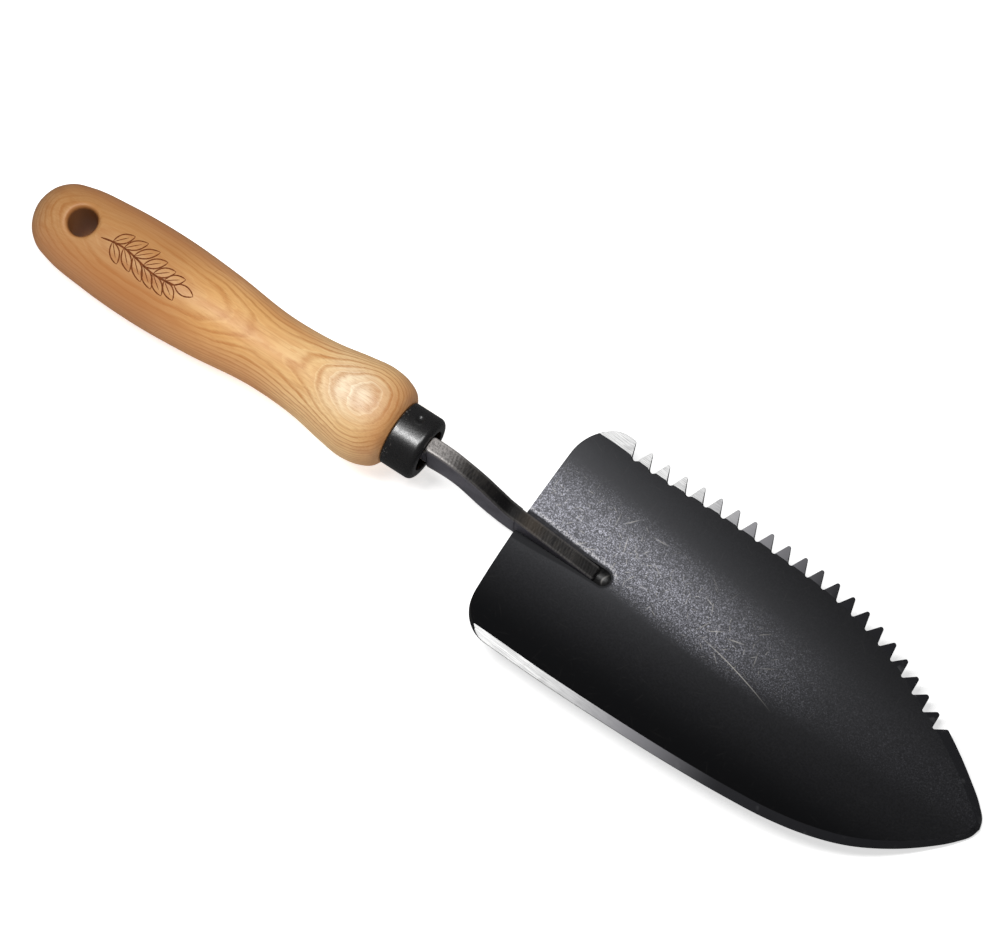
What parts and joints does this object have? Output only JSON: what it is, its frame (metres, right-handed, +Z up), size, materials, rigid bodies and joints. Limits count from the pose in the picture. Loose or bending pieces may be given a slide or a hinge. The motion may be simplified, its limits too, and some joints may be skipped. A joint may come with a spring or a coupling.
{
  "type": "hand transplanter",
  "caption": "Long pointed hand transplanter: a shallow rolled steel scoop with one saw edge and one ground edge, on a cut plate neck, a ferrule and a turned wooden grip with a hanging hole.",
  "frame": {"origin": "middle of the tool's plan outline, on the surface that it lies on", "axes": "+X along the tool from the butt of the grip to the blade's point, +Y towards the saw edge, +Z up with the hollow side of the blade facing up"},
  "size_m": [0.3716, 0.0862, 0.0367],
  "materials": {
    "ash": "satin varnish over honey-coloured ash",
    "black_ferrule": "satin black",
    "plate_steel": "black oxide, smooth on its sides and torch-cut along its edges",
    "black_steel": "matt black oxide with bare ground bevels",
    "weld_steel": "darkened weld metal"
  },
  "bodies": {
    "root": {"handle": "ash", "ferrule": "black_ferrule", "neck": "plate_steel", "blade": "black_steel", "weld_plain_side": "weld_steel", "weld_saw_side": "weld_steel", "weld_nose": "weld_steel"}
  },
  "joints": []
}
